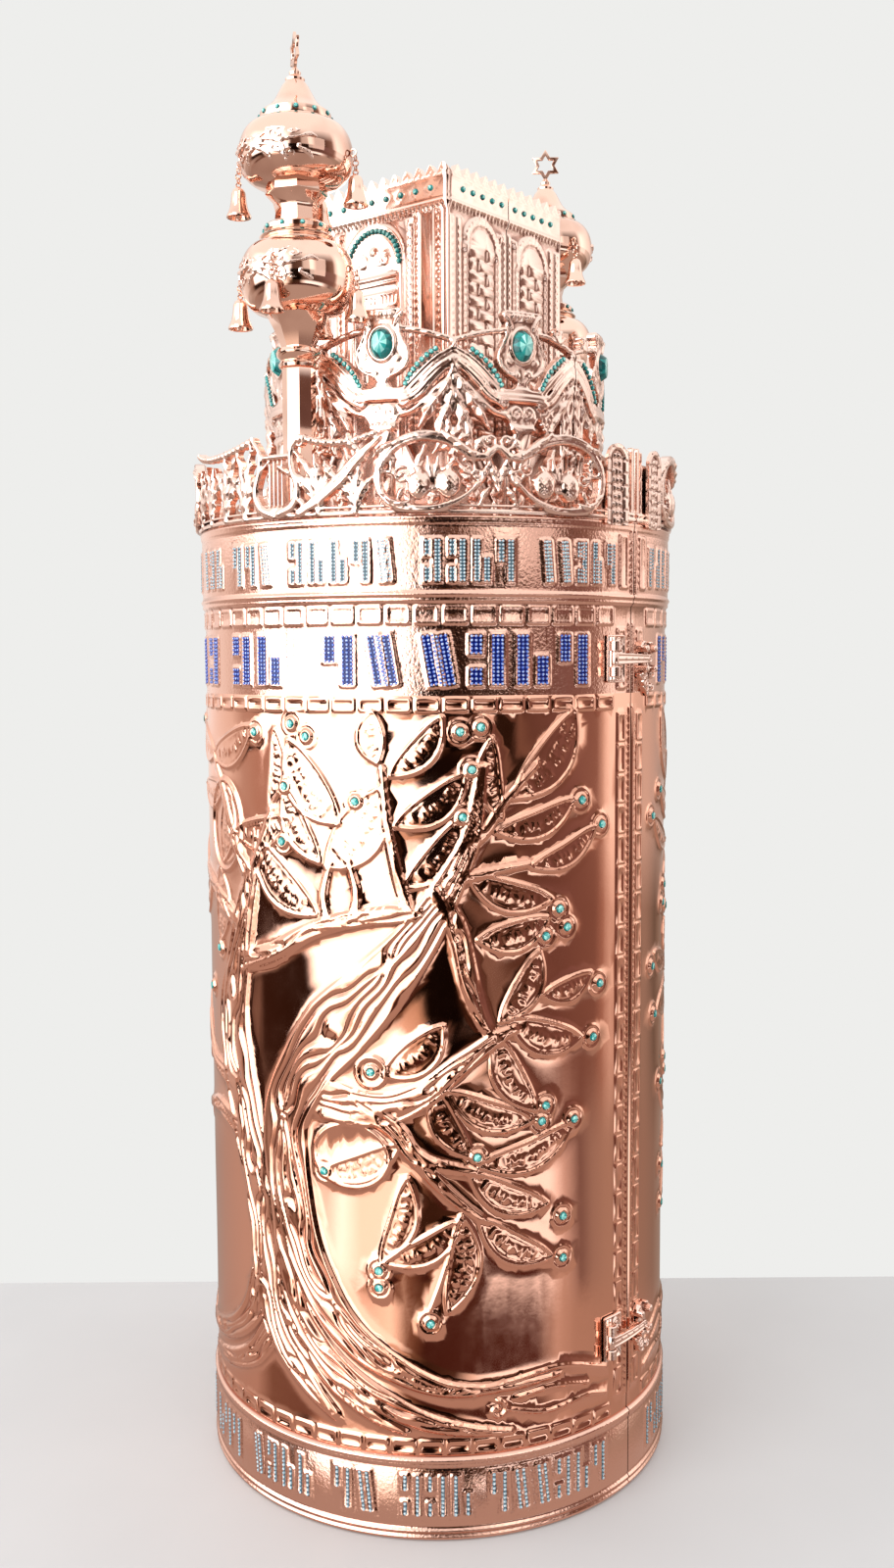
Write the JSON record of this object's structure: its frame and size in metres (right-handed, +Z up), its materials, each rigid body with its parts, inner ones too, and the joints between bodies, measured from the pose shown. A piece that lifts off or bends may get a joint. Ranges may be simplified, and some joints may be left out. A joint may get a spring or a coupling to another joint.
{
  "type": "torah case",
  "caption": "Round upright scroll case in two hinged halves, with a tree in relief, a crown, a coronet, a small temple and finials with bells.",
  "frame": {"origin": "middle of the round underside, on the surface that the case stands on", "axes": "+Z up, -Y towards the front seam with its latches, +X towards the half that opens"},
  "size_m": [0.331, 0.3112, 0.863],
  "materials": {
    "embossed_sheet": "polished rose-gold sheet with embossed and chased relief",
    "cast_ornament": "polished rose-gold castings with darker recesses",
    "bell_metal": "polished warm rose gold",
    "latch_metal": "polished rose-gold castings",
    "hinge_metal": "plain brushed rose-gold plate",
    "teal_stone": "faceted teal glass",
    "blue_stone": "small faceted sapphire-blue glass",
    "pale_stone": "small faceted pale blue glass",
    "lining": "dark red velvet"
  },
  "bodies": {
    "case_body": {"left_case": "embossed_sheet", "left_crown": "cast_ornament", "left_tablet": "cast_ornament", "left_coronet": "cast_ornament", "left_temple": "cast_ornament", "left_finial": "cast_ornament", "left_bell_1": "bell_metal", "left_bell_2": "bell_metal", "left_bell_3": "bell_metal", "left_bell_4": "bell_metal", "left_bell_5": "bell_metal", "left_bell_6": "bell_metal", "left_bell_7": "bell_metal", "lower_hinge_left": "hinge_metal", "upper_hinge_left": "hinge_metal", "lower_latch_plate": "latch_metal", "upper_latch_plate": "latch_metal"},
    "door": {"right_case": "embossed_sheet", "right_crown": "cast_ornament", "right_tablet": "cast_ornament", "right_coronet": "cast_ornament", "right_temple": "cast_ornament", "right_finial": "cast_ornament", "right_bell_1": "bell_metal", "right_bell_2": "bell_metal", "right_bell_3": "bell_metal", "right_bell_4": "bell_metal", "right_bell_5": "bell_metal", "right_bell_6": "bell_metal", "right_bell_7": "bell_metal", "lower_hinge_right": "hinge_metal", "upper_hinge_right": "hinge_metal", "lower_catch": "latch_metal", "upper_catch": "latch_metal"},
    "upper_hasp": {"upper_hasp": "latch_metal"},
    "lower_hasp": {"lower_hasp": "latch_metal"}
  },
  "joints": [
    {"name": "door_hinge", "type": "hinge", "parent": "case_body", "child": "door", "pos_m": [0, 0.1526, 0.3], "axis": [0, 0, 1], "range_deg": [0, 170]},
    {"name": "upper_hasp_pivot", "type": "hinge", "parent": "case_body", "child": "upper_hasp", "pos_m": [-0.02322, -0.15088, 0.509], "axis": [0, 0, -1], "range_deg": [0, 100]},
    {"name": "lower_hasp_pivot", "type": "hinge", "parent": "case_body", "child": "lower_hasp", "pos_m": [-0.02322, -0.15088, 0.101], "axis": [0, 0, -1], "range_deg": [0, 100]}
  ]
}
